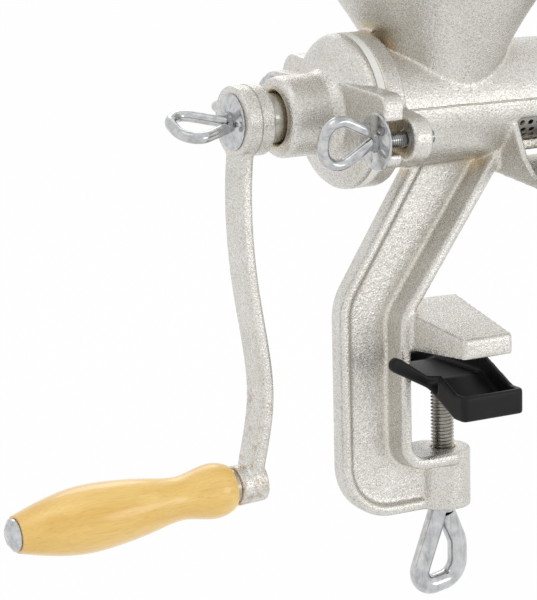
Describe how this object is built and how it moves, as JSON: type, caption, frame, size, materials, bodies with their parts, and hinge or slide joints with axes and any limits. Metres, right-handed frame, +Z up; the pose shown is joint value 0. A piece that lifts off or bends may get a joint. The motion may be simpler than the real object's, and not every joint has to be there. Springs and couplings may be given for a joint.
{
  "type": "hand crank grinder",
  "caption": "Clamp-on hand crank screw grinder with a funnel hopper, horizontal auger barrel, strainer with a juice spout, sealed crank-side cover and cast C-clamp leg.",
  "frame": {"origin": "on the underside of the upper clamp jaw, on the axis of the clamp screw, in the plane of the table top", "axes": "+Z up along the clamp screw, +X along the barrel from the crank towards the pulp outlet, -Y towards the juice spout"},
  "size_m": [0.315, 0.1172, 0.2778],
  "materials": {
    "tinned_casting": "tinned casting with a fine sand grain",
    "zinc_steel": "bright zinc plating",
    "steel_thread": "plain threaded steel",
    "stainless_sheet": "satin perforated sheet",
    "varnished_wood": "clear varnish on pale turned wood",
    "black_plastic": "matt moulded",
    "white_rubber": "matt sealing rubber",
    "white_nylon": "plain nylon"
  },
  "bodies": {
    "frame": {"body_casting": "tinned_casting", "rear_cover": "tinned_casting", "cover_gasket": "white_rubber", "shaft_seal": "white_rubber", "thrust_washer": "white_nylon", "strainer": "stainless_sheet"},
    "crank": {"auger": "tinned_casting", "crank_arm": "tinned_casting", "grip_pin": "zinc_steel", "grip_washer": "zinc_steel"},
    "grip": {"grip": "varnished_wood"},
    "crank_disc": {"crank_screw_disc": "zinc_steel"},
    "crank_eye_screw": {"crank_screw": "zinc_steel"},
    "near_disc": {"near_screw_disc": "zinc_steel"},
    "near_eye_screw": {"near_screw": "zinc_steel"},
    "far_disc": {"far_screw_disc": "zinc_steel"},
    "far_eye_screw": {"far_screw": "zinc_steel"},
    "clamp_shoe": {"jaw_shoe": "black_plastic", "clamp_swivel": "zinc_steel"},
    "clamp_eye_screw": {"clamp_screw": "steel_thread"},
    "nozzle": {"outlet_nozzle": "tinned_casting"},
    "ring_nut": {"outlet_ring": "tinned_casting"}
  },
  "joints": [
    {"name": "crank_turn", "type": "hinge", "parent": "frame", "child": "crank", "pos_m": [0, 0, 0.1], "axis": [1, 0, 0], "continuous": true},
    {"name": "grip_spin", "type": "hinge", "parent": "crank", "child": "grip", "pos_m": [-0.101, 0, -0.0488], "axis": [0.9991, 0, 0.0419], "continuous": true},
    {"name": "crank_screw_travel", "type": "slide", "parent": "crank", "child": "crank_disc", "axis": [-1, 0, 0], "range_m": [0, 0.012]},
    {"name": "crank_screw_turn", "type": "hinge", "parent": "crank_disc", "child": "crank_eye_screw", "pos_m": [-0.0975, 0, 0.1], "axis": [-1, 0, 0], "range_deg": [0, 4326]},
    {"name": "near_screw_travel", "type": "slide", "parent": "frame", "child": "near_disc", "axis": [-1, 0, 0], "range_m": [0, 0.004]},
    {"name": "near_screw_turn", "type": "hinge", "parent": "near_disc", "child": "near_eye_screw", "pos_m": [-0.056, -0.04192, 0.09299], "axis": [-1, 0, 0], "range_deg": [0, 1446]},
    {"name": "far_screw_travel", "type": "slide", "parent": "frame", "child": "far_disc", "axis": [-1, 0, 0], "range_m": [0, 0.004]},
    {"name": "far_screw_turn", "type": "hinge", "parent": "far_disc", "child": "far_eye_screw", "pos_m": [-0.056, 0.0425, 0.1], "axis": [-1, 0, 0], "range_deg": [0, 1446]},
    {"name": "clamp_screw_travel", "type": "slide", "parent": "frame", "child": "clamp_shoe", "axis": [0, 0, -1], "range_m": [0, 0.024]},
    {"name": "clamp_screw_turn", "type": "hinge", "parent": "clamp_shoe", "child": "clamp_eye_screw", "pos_m": [0, 0, -0.05], "axis": [0, 0, -1], "range_deg": [0, 5766]},
    {"name": "ring_nut_travel", "type": "slide", "parent": "frame", "child": "nozzle", "axis": [1, 0, 0], "range_m": [0, 0.014]},
    {"name": "ring_nut_turn", "type": "hinge", "parent": "nozzle", "child": "ring_nut", "pos_m": [0.09, 0, 0.1], "axis": [1, 0, 0], "range_deg": [0, 2526]}
  ],
  "couplings": [
    {"joint": "crank_screw_turn", "follows": "crank_screw_travel", "rad_per_m": 6283.2},
    {"joint": "near_screw_turn", "follows": "near_screw_travel", "rad_per_m": 6283.2},
    {"joint": "far_screw_turn", "follows": "far_screw_travel", "rad_per_m": 6283.2},
    {"joint": "clamp_screw_turn", "follows": "clamp_screw_travel", "rad_per_m": 4188.8},
    {"joint": "ring_nut_turn", "follows": "ring_nut_travel", "rad_per_m": 3141.6}
  ]
}
